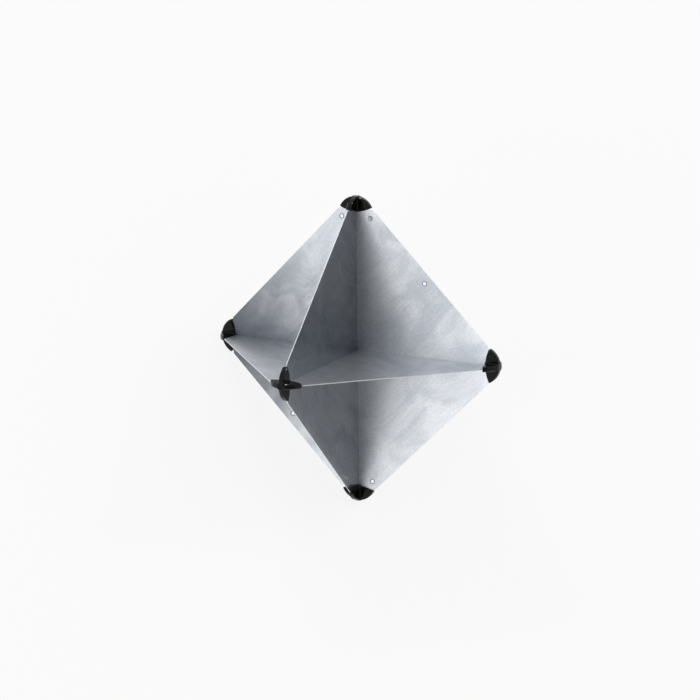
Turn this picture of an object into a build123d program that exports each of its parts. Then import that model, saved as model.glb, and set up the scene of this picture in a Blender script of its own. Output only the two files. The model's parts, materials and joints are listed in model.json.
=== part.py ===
from build123d import *
import math
import os

# Octahedral radar reflector: three square metal sheets on their diagonals, crossing at right angles,
# with a plastic cap pushed over each of the six corners. Millimetres.
#
# The pieces are first made about the reflector's own three diagonals: X runs to the right corner,
# Y to the back corner and Z to the top corner. The whole is then laid on one of its eight faces,
# the one between the left, back and bottom corners, which is how it stands on the ground.

# Sheets
sheet_side = 300.0
sheet_thickness = 1.0
slot_play = 0.5             # how much wider a slot is than the sheet that passes through it
butt_gap = 0.15             # from the cross sheet's face to the base edge of a level sheet
shoulder_inset = 24.7       # from a square's sharp corner to the straight shoulder that cuts it off
shoulder_radius = 1.2       # rounding where the shoulder meets the sheet's edge
tongue_width = 26.0         # the part of a corner that enters its cap

# Lanyard holes, all in the cross sheet
hole_diameter = 5.0
edge_hole_margin = 11.4     # from the sheet's edge to the centre of a hole at mid edge
corner_hole_margin = 10.6   # from the sheet's edge to the centre of a hole beside a corner
corner_hole_reach = 40.0    # from the sharp corner to that hole, along the edge

# Corner caps: two crossed fins, each with a lens-shaped outline
cap_span = 44.8             # from tip to tip across a fin
dome_rise = 14.2            # from the line of the tips out to the top of the dome
heel_rise = 5.4             # from the line of the tips in to the middle of the heel
fin_thickness = 7.0
rim_bevel = 1.0             # bevel along both edges of a fin's rim
tip_radius = 1.0            # rounding of the fin's points
core_diameter = 11.0        # the round core where the fins cross
core_proud = 0.3            # how far the core stands out of the dome and the heel
core_edge_bevel = 0.6
dome_wall = 3.2             # plastic left between the pocket and the dome
cap_standoff = 2.4          # from the sheets' shoulder out to the line of the cap's tips
grip_clearance = 0.15       # between a sheet's face and the pocket's wall
seat_clearance = 0.3        # between a sheet's edge and the pocket's edge

half_diagonal = sheet_side / math.sqrt(2)
shoulder_reach = half_diagonal - shoulder_inset
tips_reach = shoulder_reach + cap_standoff
slot_width = sheet_thickness + slot_play
dome_radius = ((cap_span / 2) ** 2 + dome_rise ** 2) / (2 * dome_rise)
pocket_radius = dome_radius - dome_wall
dome_centre_reach = tips_reach + dome_rise - dome_radius


def corner_outline(clearance):
    """One corner of a sheet along +X: the tongue, its rounded end and the body inside the shoulder."""
    end = Pos(dome_centre_reach) * Circle(pocket_radius - seat_clearance + clearance)
    reach = dome_centre_reach + pocket_radius
    tongue = Pos(reach / 2) * Rectangle(reach, tongue_width + 2 * clearance)
    body_reach = shoulder_reach + clearance
    body = Pos(body_reach / 2) * Rectangle(body_reach, 2 * shoulder_inset)
    inside = Pos(dome_centre_reach / 2) * Rectangle(dome_centre_reach, tongue_width + 2 * clearance)
    return (tongue & end) + inside + body


def tongue_strip():
    """The strip along +X that a tongue lies in."""
    return Pos(half_diagonal / 2) * Rectangle(half_diagonal, tongue_width)


def square_sheet():
    """A whole sheet in the XY plane: a square on its diagonal with its four corners cut to tongues."""
    diamond = Rot(0, 0, 45) * Rectangle(sheet_side, sheet_side)
    trimmed = diamond & Rectangle(2 * shoulder_reach, 2 * shoulder_reach)
    rounded = fillet(trimmed.vertices(), shoulder_radius)
    outline = rounded
    for quarter in range(4):
        outline += Rot(0, 0, 90 * quarter) * (corner_outline(0) & tongue_strip())
    return extrude(outline, sheet_thickness / 2, both=True)


def slot(start, stop):
    """The cutter for a slot along X, right through a sheet in the XY plane."""
    length = stop - start
    return Pos((start + stop) / 2) * Box(length, slot_width, 2 * sheet_thickness)


def lanyard_hole(x, y):
    """The cutter for a hole through a sheet in the XY plane."""
    return Pos(x, y) * Cylinder(hole_diameter / 2, 2 * sheet_thickness)


def cross_sheet():
    """The sheet through the left, right, top and bottom corners, slotted from the bottom corner."""
    sheet = square_sheet() - Rot(0, 0, -90) * slot(0, half_diagonal)
    edge_hole = (half_diagonal - edge_hole_margin * math.sqrt(2)) / 2
    along = corner_hole_reach / math.sqrt(2)
    inward = corner_hole_margin / math.sqrt(2)
    aside = along - inward
    up = half_diagonal - along - inward
    for turn in (0, 180):
        sheet -= Rot(0, 0, turn) * lanyard_hole(edge_hole, edge_hole)
        sheet -= Rot(0, 0, turn) * lanyard_hole(aside, up)
        sheet -= Rot(0, 0, turn) * lanyard_hole(-aside, up)
    return Rot(90, 0, 0) * sheet


def upright_sheet():
    """The sheet through the front, back, top and bottom corners, slotted from three of them."""
    sheet = square_sheet() - Rot(0, 0, 90) * slot(0, half_diagonal)
    for turn in (0, 180):
        sheet -= Rot(0, 0, turn) * slot(half_diagonal / 2, half_diagonal)
    return Rot(0, 0, 90) * Rot(90, 0, 0) * sheet


def level_sheet(turn):
    """Half of the level square: turn 0 is the back half and 180 the front half."""
    sheet = square_sheet() - Rot(0, 0, 90) * slot(0, half_diagonal / 2)
    base = sheet_thickness / 2 + butt_gap
    keep = Pos(0, base + half_diagonal / 2) * Box(2 * half_diagonal, half_diagonal, 2 * sheet_thickness)
    return Rot(0, 0, turn) * (sheet & keep)


def lens(reach):
    """A fin's outline, centred on the X axis with the line of its tips at the given reach."""
    low = (reach, -cap_span / 2)
    high = (reach, cap_span / 2)
    dome = ThreePointArc(low, (reach + dome_rise, 0), high)
    heel = ThreePointArc(high, (reach - heel_rise, 0), low)
    return make_face([dome, heel])


def fin():
    """One lens-shaped fin of a cap in the XY plane, with rounded points and bevelled rims."""
    outline = fillet(lens(tips_reach).vertices(), tip_radius)
    blank = extrude(outline, fin_thickness / 2, both=True)
    rims = blank.faces().filter_by(Axis.Z).edges()
    return chamfer(rims, rim_bevel)


def core():
    """The round core of a cap, a little proud of the dome and the heel where the fins cross."""
    low = tips_reach - heel_rise - core_proud
    high = tips_reach + dome_rise + core_proud
    blank = Pos((low + high) / 2) * Rot(0, 90, 0) * Cylinder(core_diameter / 2, high - low)
    return chamfer(blank.edges().filter_by(GeomType.CIRCLE), core_edge_bevel)


def pocket():
    """The cutter for the slot in a fin that one sheet's corner sits in."""
    return extrude(corner_outline(seat_clearance), sheet_thickness / 2 + grip_clearance, both=True)


def corner_cap():
    """A cap over the corner on +X: two crossed fins on a core, with a cross-shaped pocket."""
    hub = core()
    cap = hub
    for turn in (0, 90):
        cap += Rot(turn, 0, 0) * (fin() - hub)
    for turn in (0, 90):
        cap -= Rot(turn, 0, 0) * pocket()
    return cap


cap = corner_cap()
pieces = {
    "cross_sheet": cross_sheet(),
    "upright_sheet": upright_sheet(),
    "level_sheet_back": level_sheet(0),
    "level_sheet_front": level_sheet(180),
    "cap_right": cap,
    "cap_back": Rot(0, 0, 90) * cap,
    "cap_left": Rot(0, 0, 180) * cap,
    "cap_front": Rot(0, 0, -90) * cap,
    "cap_top": Rot(0, -90, 0) * cap,
    "cap_bottom": Rot(0, 90, 0) * cap,
}

# Laid down: the right corner's diagonal leans up over +X, and the top corner's towards +Y.
laid = Plane(origin=(0, 0, 0), x_dir=(math.sqrt(2), 0, 1), z_dir=(-1, math.sqrt(3), math.sqrt(2))).location
laid_pieces = {name: laid * piece for name, piece in pieces.items()}
ground = min(piece.bounding_box().min.Z for piece in laid_pieces.values())

os.makedirs("parts", exist_ok=True)
for name, piece in laid_pieces.items():
    export_step(Pos(0, 0, -ground) * piece, f"parts/{name}.step")
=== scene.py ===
"""An octahedral radar reflector: bare aluminium sheets that cross at right angles, and six corner caps."""

import json
import logging
import math
from dataclasses import dataclass, field
from enum import Enum

import bmesh
import bpy
from mathutils import Matrix, Vector


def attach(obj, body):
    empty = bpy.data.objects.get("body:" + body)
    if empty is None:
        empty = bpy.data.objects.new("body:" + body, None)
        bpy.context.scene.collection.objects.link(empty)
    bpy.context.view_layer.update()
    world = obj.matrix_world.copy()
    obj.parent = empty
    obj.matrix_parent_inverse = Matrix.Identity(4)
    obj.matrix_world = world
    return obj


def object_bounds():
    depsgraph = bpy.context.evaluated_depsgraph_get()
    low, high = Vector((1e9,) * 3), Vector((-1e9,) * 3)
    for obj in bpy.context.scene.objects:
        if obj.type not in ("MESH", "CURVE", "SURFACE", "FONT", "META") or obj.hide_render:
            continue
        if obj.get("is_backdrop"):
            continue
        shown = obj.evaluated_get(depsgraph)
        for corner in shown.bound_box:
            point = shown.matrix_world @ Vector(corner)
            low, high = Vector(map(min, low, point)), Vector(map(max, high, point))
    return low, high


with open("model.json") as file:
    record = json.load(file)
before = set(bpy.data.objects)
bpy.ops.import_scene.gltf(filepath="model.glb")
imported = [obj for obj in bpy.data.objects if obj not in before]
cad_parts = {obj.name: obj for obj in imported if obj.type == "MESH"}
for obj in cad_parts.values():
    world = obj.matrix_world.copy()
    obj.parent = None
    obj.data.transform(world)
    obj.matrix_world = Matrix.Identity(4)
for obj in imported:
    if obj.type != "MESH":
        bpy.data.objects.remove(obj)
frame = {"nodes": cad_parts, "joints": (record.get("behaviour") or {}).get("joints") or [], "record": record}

log = logging.getLogger("radar_reflector")

MM = 0.001                       # one millimetre in scene units
PER_METRE = 1000.0               # millimetres in a scene unit, for patterns drawn in millimetres


class Corner(Enum):
    """The reflector's six corners, each with the joint that its cap pulls off along."""

    RIGHT = "cap_right"
    LEFT = "cap_left"
    TOP = "cap_top"
    BOTTOM = "cap_bottom"
    FRONT = "cap_front"
    BACK = "cap_back"


class Grain(Enum):
    """Which way a sheet was cut from the rolled stock: the side that its grain follows."""

    RISING = 1.0
    FALLING = -1.0


def linear(hex_colour: str) -> tuple[float, float, float, float]:
    """Turns an sRGB hex colour into linear RGBA.

    Args:
        hex_colour: Six hex digits, with or without a leading hash.

    Returns:
        The colour as linear red, green, blue and an alpha of one.
    """
    digits = hex_colour.lstrip("#")
    channels = []
    for start in (0, 2, 4):
        value = int(digits[start:start + 2], 16) / 255
        channels.append(value / 12.92 if value <= 0.04045 else ((value + 0.055) / 1.055) ** 2.4)
    return (channels[0], channels[1], channels[2], 1.0)


def add_node(
    tree: bpy.types.NodeTree,
    kind: str,
    settings: dict | None = None,
    inputs: dict | None = None,
) -> bpy.types.Node:
    """Adds a node, sets its properties, and fills or links its sockets.

    Args:
        tree: The node tree that gets the node.
        kind: The node's type name.
        settings: Properties of the node itself.
        inputs: Values or output sockets, by the input's name or number.

    Returns:
        The new node.
    """
    node = tree.nodes.new(kind)
    for name, value in (settings or {}).items():
        setattr(node, name, value)
    for name, value in (inputs or {}).items():
        if isinstance(value, bpy.types.NodeSocket):
            tree.links.new(value, node.inputs[name])
        else:
            node.inputs[name].default_value = value
    return node


def map_range(
    tree: bpy.types.NodeTree,
    value: bpy.types.NodeSocket,
    source: tuple[float, float],
    target: tuple[float, float] = (0.0, 1.0),
    soft: bool = False,
) -> bpy.types.NodeSocket:
    """Maps one range of a value onto another, and holds it at the ends.

    Args:
        tree: The node tree.
        value: The value to map.
        source: The range that it comes in.
        target: The range that it goes out in.
        soft: Whether it eases into both ends.

    Returns:
        The mapped value.
    """
    ramp = add_node(tree, "ShaderNodeMapRange", {"interpolation_type": "SMOOTHSTEP" if soft else "LINEAR"}, {
        "Value": value, "From Min": source[0], "From Max": source[1],
        "To Min": target[0], "To Max": target[1]})
    return ramp.outputs[0]


def new_material(name: str) -> tuple[bpy.types.Material, bpy.types.NodeTree]:
    """Makes an empty node material.

    Args:
        name: The material's name.

    Returns:
        The material and its node tree, with no nodes in it.
    """
    material = bpy.data.materials.new(name)
    material.use_nodes = True
    material.node_tree.nodes.clear()
    return material, material.node_tree


@dataclass(frozen=True)
class Diagonals:
    """The reflector's own three axes and its centre, in the frame that it lies in."""

    centre: Vector
    right: Vector
    back: Vector
    top: Vector

    @classmethod
    def from_frame(cls) -> "Diagonals":
        """Reads the axes from the caps' joints and the centre from the whole object's box.

        Returns:
            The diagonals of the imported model.
        """
        axes = {joint["child"]: Vector(joint["axis"]).normalized() for joint in frame["joints"]}
        low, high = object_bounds()
        return cls(
            centre=(low + high) / 2,
            right=axes[Corner.RIGHT.value],
            back=axes[Corner.BACK.value],
            top=axes[Corner.TOP.value],
        )


@dataclass(frozen=True)
class MillAluminium:
    """Rolled aluminium sheet as it leaves the mill, sheared to size.

    The rolls leave a fine straight grain and a satin face that mirrors only softly. Handling and
    weather leave a cloudy bloom, which is duller and a little darker, and a few light scratches. The
    sheared edges are bare, bright and rough. One corner can be given painted shade, darker round it.
    """

    name: str
    across: Vector
    up: Vector
    grain: Grain
    seed: float
    face: str = "#e6e9ee"
    bloom: str = "#d2d7de"
    edge: str = "#f6f7f8"
    face_roughness: float = 0.17
    bloom_roughness: float = 0.26
    edge_roughness: float = 0.5
    cloud_mm: tuple[float, float] = (69.0, 46.0)      # a cloud of the bloom, along the grain and across
    fleck_mm: tuple[float, float] = (2.72, 1.7)       # a small fleck inside it
    grain_mm: tuple[float, float] = (90.0, 1.6)       # a roll line, drawn coarser than the real one to show
    scratch_mm: tuple[float, float] = (55.0, 0.9)
    cloud_swirl: float = 0.9                          # how far the clouds are pulled about
    layer_strength: float = 0.55                      # of each finer layer of a noise against the last
    seed_step_mm: tuple[float, float, float] = (100.0, 37.0, 0.0)    # how far along the stock a seed moves
    bloom_range: tuple[float, float] = (0.38, 0.66)   # cloud values where the bloom starts and is full
    dull_range: tuple[float, float] = (0.3, 0.7)      # cloud values of the face's and the bloom's roughness
    line_share: float = 0.4                           # of the roll lines in the tone, beside the flecks
    tone_range: tuple[float, float] = (0.4, 1.0)
    tone_gain: tuple[float, float] = (0.84, 1.12)     # darkest and lightest that the tone makes the face
    line_roughness: float = 0.03
    scratch_slant: float = 28.0                       # degrees between the scratches and the grain
    scratch_range: tuple[float, float] = (0.74, 0.8)
    scratch_strength: float = 0.35
    swell_strength: float = 0.35                      # the sheet's slow waviness, which follows the clouds
    swell_mm: float = 0.9
    texture_strength: float = 0.1
    texture_mm: float = 0.05
    edge_cosine: float = 0.7                          # a face turned further than this is a sheared edge
    # painted shade: a darker colour round one corner, standing in for the mirrored shadow of the floor
    painted_shade: str = "#6c7078"
    painted_shade_at: Vector | None = None                  # the corner that gets the painted shade, where the sheet mirrors the shadowed floor, in metres
    painted_shade_reach_mm: tuple[float, float] = (20.0, 230.0)
    painted_shade_border_mm: float = 90.0                   # how unevenly the clouds make its border

    def build(self) -> bpy.types.Material:
        """Builds the material.

        Returns:
            The finished material.
        """
        material, tree = new_material(self.name)
        place = add_node(tree, "ShaderNodeTexCoord")
        along = (self.across + self.up * self.grain.value).normalized()
        normal = self.across.cross(self.up).normalized()
        aside = normal.cross(along)
        turn = Matrix((along, aside, normal)).to_euler()
        flat = add_node(tree, "ShaderNodeMapping", inputs={
            "Vector": place.outputs["Object"],
            "Location": Vector(self.seed_step_mm) * self.seed,
            "Rotation": turn,
            "Scale": (PER_METRE,) * 3,
        })
        cloud = self._noise(tree, flat, self.cloud_mm, detail=4.0, distortion=self.cloud_swirl)
        flecks = self._noise(tree, flat, self.fleck_mm, detail=3.0)
        lines = self._noise(tree, flat, self.grain_mm, detail=2.0)
        scratches = self._scratches(tree, flat)
        bloom = map_range(tree, cloud, self.bloom_range, soft=True)
        rim = self._rim(tree, place, normal)

        mottled = add_node(tree, "ShaderNodeMix", {"data_type": "RGBA"}, {
            0: bloom, 6: linear(self.face), 7: linear(self.bloom)})
        tone = add_node(tree, "ShaderNodeMath", {"operation": "MULTIPLY_ADD"}, {
            0: lines, 1: self.line_share, 2: flecks})
        gain = map_range(tree, tone.outputs[0], self.tone_range, self.tone_gain)
        grained = add_node(tree, "ShaderNodeMix", {"data_type": "RGBA", "blend_type": "MULTIPLY"}, {
            0: 1.0, 6: mottled.outputs[2], 7: gain})
        scored = add_node(tree, "ShaderNodeMix", {"data_type": "RGBA"}, {
            0: scratches, 6: grained.outputs[2], 7: linear(self.edge)})
        # painted shade round one corner, where one is given, over the scored colour
        scored_and_shaded = scored.outputs[2] if self.painted_shade_at is None else self._with_painted_shade(tree, place, scored, cloud)
        colour = add_node(tree, "ShaderNodeMix", {"data_type": "RGBA"}, {
            0: rim, 6: scored_and_shaded, 7: linear(self.edge)})

        dull = map_range(tree, cloud, self.dull_range, (self.face_roughness, self.bloom_roughness))
        worked = add_node(tree, "ShaderNodeMath", {"operation": "MULTIPLY_ADD"}, {
            0: lines, 1: self.line_roughness, 2: dull})
        roughness = add_node(tree, "ShaderNodeMix", {"data_type": "FLOAT"}, {
            0: rim, 2: worked.outputs[0], 3: self.edge_roughness})

        swell = add_node(tree, "ShaderNodeBump", inputs={
            "Strength": self.swell_strength, "Distance": self.swell_mm * MM, "Height": cloud})
        texture = add_node(tree, "ShaderNodeBump", inputs={
            "Strength": self.texture_strength, "Distance": self.texture_mm * MM,
            "Height": tone.outputs[0], "Normal": swell.outputs[0]})
        shader = add_node(tree, "ShaderNodeBsdfPrincipled", inputs={
            "Base Color": colour.outputs[2],
            "Metallic": 1.0,
            "Roughness": roughness.outputs[0],
            "Normal": texture.outputs[0],
        })
        add_node(tree, "ShaderNodeOutputMaterial", inputs={"Surface": shader.outputs[0]})
        return material

    def _noise(
        self,
        tree: bpy.types.NodeTree,
        flat: bpy.types.Node,
        size_mm: tuple[float, float],
        detail: float,
        distortion: float = 0.0,
    ) -> bpy.types.NodeSocket:
        """Adds a noise whose marks have a real size on the sheet.

        Args:
            tree: The material's node tree.
            flat: The mapping that gives millimetres on the sheet.
            size_mm: Length of a mark along the grain, and its width across.
            detail: How many finer layers the noise has.
            distortion: How far the marks are pulled about.

        Returns:
            The noise's value.
        """
        stretched = add_node(tree, "ShaderNodeMapping", inputs={
            "Vector": flat.outputs[0], "Scale": (1 / size_mm[0], 1 / size_mm[1], 1 / size_mm[1])})
        noise = add_node(tree, "ShaderNodeTexNoise", inputs={
            "Vector": stretched.outputs[0], "Scale": 1.0, "Detail": detail,
            "Roughness": self.layer_strength, "Distortion": distortion})
        return noise.outputs[0]

    def _scratches(self, tree: bpy.types.NodeTree, flat: bpy.types.Node) -> bpy.types.NodeSocket:
        """Adds a few long light scratches at a slant to the grain.

        Args:
            tree: The material's node tree.
            flat: The mapping that gives millimetres on the sheet.

        Returns:
            How strongly a scratch shows, from nought.
        """
        slanted = add_node(tree, "ShaderNodeMapping", inputs={
            "Vector": flat.outputs[0], "Rotation": (0.0, 0.0, math.radians(self.scratch_slant))})
        marks = self._noise(tree, slanted, self.scratch_mm, detail=0.0)
        sharp = map_range(tree, marks, self.scratch_range, soft=True)
        faint = add_node(tree, "ShaderNodeMath", {"operation": "MULTIPLY"}, {
            0: sharp, 1: self.scratch_strength})
        return faint.outputs[0]

    def _with_painted_shade(
        self,
        tree: bpy.types.NodeTree,
        place: bpy.types.Node,
        clean: bpy.types.Node,
        cloud: bpy.types.NodeSocket,
    ) -> bpy.types.NodeSocket:
        """Paints shade on the face round one corner, where the sheet mirrors the shadowed floor, with a
        cloudy border.

        Args:
            tree: The material's node tree.
            place: The texture coordinates.
            clean: The mix that gives the colour without the tarnish.
            cloud: The noise that makes the border uneven.

        Returns:
            The colour with the painted shade.
        """
        away = add_node(tree, "ShaderNodeVectorMath", {"operation": "DISTANCE"}, {
            0: place.outputs["Object"], 1: self.painted_shade_at})
        uneven = add_node(tree, "ShaderNodeMath", {"operation": "MULTIPLY_ADD"}, {
            0: cloud, 1: -self.painted_shade_border_mm * MM, 2: away.outputs["Value"]})
        near, far = ((reach - self.painted_shade_border_mm / 2) * MM for reach in self.painted_shade_reach_mm)
        depth = map_range(tree, uneven.outputs[0], (near, far), (1.0, 0.0), soft=True)
        mix = add_node(tree, "ShaderNodeMix", {"data_type": "RGBA"}, {
            0: depth, 6: clean.outputs[2], 7: linear(self.painted_shade)})
        return mix.outputs[2]

    def _rim(
        self, tree: bpy.types.NodeTree, place: bpy.types.Node, normal: Vector
    ) -> bpy.types.NodeSocket:
        """Finds the sheared edges: the faces that don't look out of the sheet's two sides.

        Args:
            tree: The material's node tree.
            place: The texture coordinates.
            normal: The way that the sheet's faces look.

        Returns:
            One on an edge and nought on a face.
        """
        facing = add_node(tree, "ShaderNodeVectorMath", {"operation": "DOT_PRODUCT"}, {
            0: place.outputs["Normal"], 1: normal})
        size = add_node(tree, "ShaderNodeMath", {"operation": "ABSOLUTE"}, {0: facing.outputs["Value"]})
        edge = add_node(tree, "ShaderNodeMath", {"operation": "LESS_THAN"}, {
            0: size.outputs[0], 1: self.edge_cosine})
        return edge.outputs[0]


@dataclass(frozen=True)
class MouldedNylon:
    """Glossy black nylon, injection moulded in a polished tool.

    The skin is smooth with a faint orange peel from the flow, and it carries a thin scuffing where the
    caps have been handled.
    """

    name: str = "moulded_black_nylon"
    skin: str = "#0b0b09"
    scuff: str = "#141412"
    gloss_roughness: float = 0.1
    scuff_roughness: float = 0.22
    peel_mm: float = 1.4
    peel_depth_mm: float = 0.05
    peel_strength: float = 0.12
    scuff_mm: float = 7.0
    scuff_range: tuple[float, float] = (0.5, 0.75)    # noise values where the scuffing starts and is full
    index: float = 1.53
    specular_level: float = 0.22     # below the shader's default, which keeps the caps near black

    def build(self) -> bpy.types.Material:
        """Builds the material.

        Returns:
            The finished material.
        """
        material, tree = new_material(self.name)
        place = add_node(tree, "ShaderNodeTexCoord")
        size = add_node(tree, "ShaderNodeMapping", inputs={
            "Vector": place.outputs["Object"], "Scale": (PER_METRE,) * 3})
        peel = add_node(tree, "ShaderNodeTexNoise", inputs={
            "Vector": size.outputs[0], "Scale": 1 / self.peel_mm, "Detail": 2.0})
        wear = add_node(tree, "ShaderNodeTexNoise", inputs={
            "Vector": size.outputs[0], "Scale": 1 / self.scuff_mm, "Detail": 6.0, "Roughness": 0.7})
        scuffed = map_range(tree, wear.outputs[0], self.scuff_range, soft=True)
        colour = add_node(tree, "ShaderNodeMix", {"data_type": "RGBA"}, {
            0: scuffed, 6: linear(self.skin), 7: linear(self.scuff)})
        roughness = map_range(tree, scuffed, (0.0, 1.0), (self.gloss_roughness, self.scuff_roughness))
        bump = add_node(tree, "ShaderNodeBump", inputs={
            "Strength": self.peel_strength, "Distance": self.peel_depth_mm * MM, "Height": peel.outputs[0]})
        shader = add_node(tree, "ShaderNodeBsdfPrincipled", inputs={
            "Base Color": colour.outputs[2],
            "Roughness": roughness,
            "IOR": self.index,
            "Specular IOR Level": self.specular_level,
            "Normal": bump.outputs[0],
        })
        add_node(tree, "ShaderNodeOutputMaterial", inputs={"Surface": shader.outputs[0]})
        return material


@dataclass
class SheetSet:
    """The four crossing aluminium sheets."""

    axes: Diagonals
    corner_reach: float = 0.2        # from the centre out to where a sheet goes into its cap

    def dress(self) -> None:
        """Gives each sheet its own piece of rolled stock."""
        right, back, top = self.axes.right, self.axes.back, self.axes.top
        left_corner = self.axes.centre - right * self.corner_reach
        finishes = {
            # The cross sheet gets painted shade round its left corner, where it mirrors the shadowed floor.
            "cross_sheet": MillAluminium(
                "mill_aluminium_cross", right, top, Grain.RISING, 1.0,
                face_roughness=0.38, bloom_roughness=0.46, painted_shade_at=left_corner),
            # The upright sheet's face and bloom are coloured darker than the other sheets': painted shade,
            # for the dim light that its faces mirror back.
            "upright_sheet": MillAluminium(
                "mill_aluminium_upright_painted_shade", back, top, Grain.FALLING, 2.0, face="#a8acb1", bloom="#989ca2"),
            "level_sheet_back": MillAluminium(
                "mill_aluminium_level_back", right, back, Grain.RISING, 3.0,
                face_roughness=0.36, bloom_roughness=0.44),
            "level_sheet_front": MillAluminium(
                "mill_aluminium_level_front", right, back, Grain.FALLING, 4.0,
                face_roughness=0.36, bloom_roughness=0.44),
        }
        for name, finish in finishes.items():
            dress_node(name, finish.build())


@dataclass
class HoleLips:
    """The low rolled lips that the punch leaves round the lanyard holes, on both faces of the sheet, coloured
    dark as painted shade of the holes' walls.
    """

    axes: Diagonals
    section_mm: float = 0.45         # radius of the lip's round section, half of it sunk in the sheet
    steps: int = 48                  # round the hole
    section_steps: int = 10          # round the section

    def build(self) -> None:
        """Makes a lip at each end of each hole."""
        # painted shade: the lips' metal is coloured dark, standing in for the shaded walls of the holes
        finish = MillAluminium(
            "punched_lip_painted_shade", self.axes.right, self.axes.top, Grain.RISING, 5.0,
            face="#7d8289", bloom="#5f646b", edge="#6d7279", face_roughness=0.4, bloom_roughness=0.5,
        ).build()
        for mount in frame["record"]["mounts"]:
            axis = Vector(mount["axis"]).normalized()
            half = mount["dims"]["length_mm"] * MM / 2
            for side, place in (("front", 1.0), ("back", -1.0)):
                centre = Vector(mount["pos_m"]) + axis * (half * place)
                lip = self._lip(f"lip_{mount['name']}_{side}", centre, axis, mount["dims"]["r_mm"] * MM)
                lip.data.materials.append(finish)
                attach(lip, "sheets")

    def _lip(self, name: str, centre: Vector, axis: Vector, hole_radius: float) -> bpy.types.Object:
        """Makes one lip by spinning its section round the hole.

        Args:
            name: The piece's name.
            centre: The middle of the hole, on the sheet's face.
            axis: The hole's axis.
            hole_radius: The hole's radius in metres.

        Returns:
            The lip.
        """
        section = self.section_mm * MM
        outward = axis.orthogonal().normalized()
        middle = centre + outward * (hole_radius + section)
        shape = bmesh.new()
        ring = []
        for step in range(self.section_steps):
            angle = 2 * math.pi * step / self.section_steps
            spoke = outward * math.cos(angle) + axis * math.sin(angle)
            ring.append(shape.verts.new(middle + spoke * section))
        edges = [shape.edges.new((ring[i - 1], ring[i])) for i in range(self.section_steps)]
        bmesh.ops.spin(shape, geom=ring + edges, cent=centre, axis=axis, angle=2 * math.pi,
                       steps=self.steps, use_merge=True)
        bmesh.ops.recalc_face_normals(shape, faces=shape.faces)
        for face in shape.faces:
            face.smooth = True
        mesh = bpy.data.meshes.new(name)
        shape.to_mesh(mesh)
        shape.free()
        piece = bpy.data.objects.new(name, mesh)
        bpy.context.scene.collection.objects.link(piece)
        return piece


@dataclass
class CapSet:
    """The six moulded corner caps."""

    finish: MouldedNylon = field(default_factory=MouldedNylon)

    def dress(self) -> None:
        """Gives every cap the same moulding."""
        material = self.finish.build()
        for corner in Corner:
            dress_node(corner.value, material)


def dress_node(name: str, material: bpy.types.Material) -> None:
    """Puts a material on a node of the frame and reports it.

    Args:
        name: The node's name.
        material: The finish that it gets.
    """
    for slot in frame["nodes"][name].material_slots:
        slot.material = material
    log.info("%s: %s", name, material.name)


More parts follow.
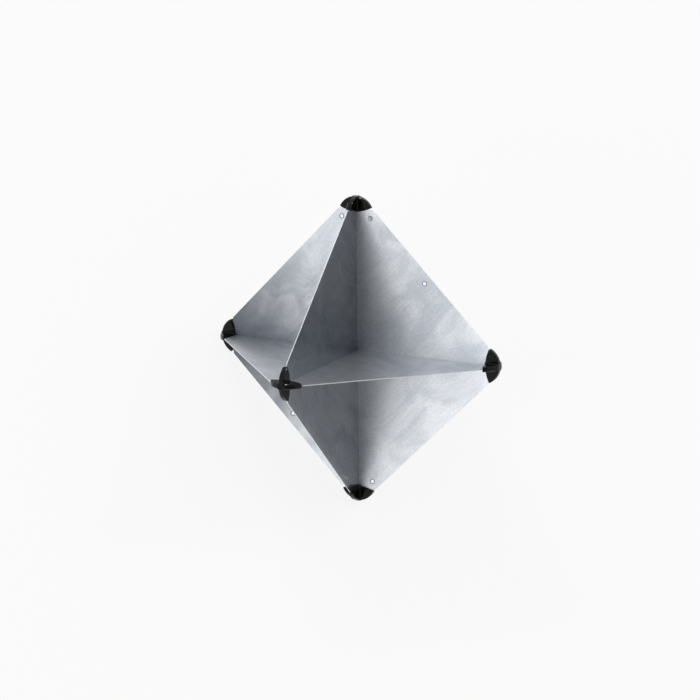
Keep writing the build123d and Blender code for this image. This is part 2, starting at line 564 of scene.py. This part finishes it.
@dataclass
class Studio:
    """A white floor and pale walls, with a dim opening high in front, two softboxes and a strip lamp.

    Bare metal shows only what is round it. The low walls make its outward faces bright, and the dim
    opening is what the inner corners send back, because three square faces return light the way it came.
    """

    axes: Diagonals
    floor_size: float = 16.0
    floor_colour: str = "#fafafa"
    floor_glow: float = 0.86         # share of plain white in the floor, where it is looked at or mirrored
    wall: float = 0.72
    opening: float = 0.04
    opening_at: tuple[float, float, float] = (-0.08, -0.43, 0.9)
    opening_cosines: tuple[float, float] = (0.95, 0.66)   # where the opening ends, and where the wall is full
    key_from: tuple[float, float, float] = (1.3, 1.9, 2.6)
    key_size: tuple[float, float] = (0.55, 0.55)
    key_power: float = 14.0
    fill_from: tuple[float, float, float] = (-1.6, -2.06, 1.4)
    fill_size: tuple[float, float] = (1.2, 1.2)
    fill_power: float = 12.0
    top_from: tuple[float, float, float] = (-1.65, 1.35, 2.1)
    top_size: tuple[float, float] = (0.85, 0.22)
    top_power: float = 13.0

    def build(self) -> None:
        """Makes the floor, the world and the lights."""
        self._floor()
        self._world()
        self._lamp("key_softbox", Vector(self.key_from), self.key_size, self.key_power)
        self._lamp("fill_softbox", Vector(self.fill_from), self.fill_size, self.fill_power)
        self._lamp("top_lamp", Vector(self.top_from), self.top_size, self.top_power)

    def _floor(self) -> None:
        """Lays a plain white floor under the object, which takes its shadow."""
        mesh = bpy.data.meshes.new("floor")
        shape = bmesh.new()
        bmesh.ops.create_grid(shape, x_segments=1, y_segments=1, size=self.floor_size / 2)
        shape.to_mesh(mesh)
        shape.free()
        floor = bpy.data.objects.new("floor", mesh)
        bpy.context.scene.collection.objects.link(floor)
        material, tree = new_material("painted_floor")
        paint = add_node(tree, "ShaderNodeBsdfDiffuse", inputs={"Color": linear(self.floor_colour)})
        white = add_node(tree, "ShaderNodeEmission", inputs={"Strength": 1.0})
        path = add_node(tree, "ShaderNodeLightPath")
        mirrored = add_node(tree, "ShaderNodeMath", {"operation": "MAXIMUM"}, {
            0: path.outputs["Is Glossy Ray"], 1: path.outputs["Is Transmission Ray"]})
        seen = add_node(tree, "ShaderNodeMath", {"operation": "MAXIMUM"}, {
            0: path.outputs["Is Camera Ray"], 1: mirrored.outputs[0]})
        share = add_node(tree, "ShaderNodeMath", {"operation": "MULTIPLY"}, {
            0: seen.outputs[0], 1: self.floor_glow})
        mixed = add_node(tree, "ShaderNodeMixShader", inputs={
            0: share.outputs[0], 1: paint.outputs[0], 2: white.outputs[0]})
        add_node(tree, "ShaderNodeOutputMaterial", inputs={"Surface": mixed.outputs[0]})
        mesh.materials.append(material)
        floor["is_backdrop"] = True

    def _world(self) -> None:
        """Makes a world of white walls round a dim opening."""
        world = bpy.data.worlds.new("studio")
        world.use_nodes = True
        tree = world.node_tree
        tree.nodes.clear()
        place = add_node(tree, "ShaderNodeTexCoord")
        near = add_node(tree, "ShaderNodeVectorMath", {"operation": "DOT_PRODUCT"}, {
            0: place.outputs["Generated"], 1: Vector(self.opening_at).normalized()})
        level = map_range(
            tree, near.outputs["Value"], self.opening_cosines, (self.opening, self.wall), soft=True)
        sky = add_node(tree, "ShaderNodeBackground", inputs={"Color": linear("#ffffff"), "Strength": level})
        add_node(tree, "ShaderNodeOutputWorld", inputs={0: sky.outputs[0]})
        bpy.context.scene.world = world

    def _lamp(self, name: str, place: Vector, size: tuple[float, float], power: float) -> None:
        """Hangs one softbox that looks at the object.

        Args:
            name: The lamp's name.
            place: Where it hangs.
            size: Its width and its height.
            power: Its power in watts.
        """
        light = bpy.data.lights.new(name, "AREA")
        light.shape = "RECTANGLE"
        light.size, light.size_y = size
        light.energy = power
        lamp = bpy.data.objects.new(name, light)
        lamp.location = place
        lamp.rotation_mode = "QUATERNION"
        lamp.rotation_quaternion = (self.axes.centre - place).to_track_quat("-Z", "Y")
        bpy.context.scene.collection.objects.link(lamp)


@dataclass
class Viewpoint:
    """The camera: above the front of the reflector, with its top corner straight up in the picture."""

    axes: Diagonals
    azimuth: float = 28.1            # degrees round the reflector's own upright, from its front corner
    elevation: float = 14.2          # degrees above its own level sheet
    distance: float = 3.18
    lens: float = 125.4
    aside: float = 0.0097            # how far the reflector's centre lies right of the picture's middle
    roll: float = 0.6                # degrees that the reflector leans to the left in the picture
    sensor: float = 36.0

    def build(self) -> None:
        """Makes the camera and makes it the scene's own."""
        turn, rise = math.radians(self.azimuth), math.radians(self.elevation)
        towards = (
            self.axes.right * (math.sin(turn) * math.cos(rise))
            - self.axes.back * (math.cos(turn) * math.cos(rise))
            + self.axes.top * math.sin(rise)
        )
        level = self.axes.top.cross(towards).normalized()
        sideways = Matrix.Rotation(-math.radians(self.roll), 3, towards) @ level
        upwards = towards.cross(sideways)
        data = bpy.data.cameras.new("camera")
        data.lens = self.lens
        data.sensor_width = self.sensor
        camera = bpy.data.objects.new("camera", data)
        camera.location = self.axes.centre + towards * self.distance - sideways * self.aside
        camera.rotation_mode = "QUATERNION"
        camera.rotation_quaternion = Matrix((sideways, upwards, towards)).transposed().to_quaternion()
        bpy.context.scene.collection.objects.link(camera)
        bpy.context.scene.camera = camera


def main() -> None:
    """Builds the reflector's looks, piece by piece, and the studio round it."""
    logging.basicConfig(level=logging.INFO, format="%(message)s")
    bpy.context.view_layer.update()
    axes = Diagonals.from_frame()
    SheetSet(axes).dress()
    HoleLips(axes).build()
    CapSet().dress()
    Studio(axes).build()
    Viewpoint(axes).build()
    bpy.context.scene.view_settings.view_transform = "Standard"


if __name__ == "__main__":
    main()
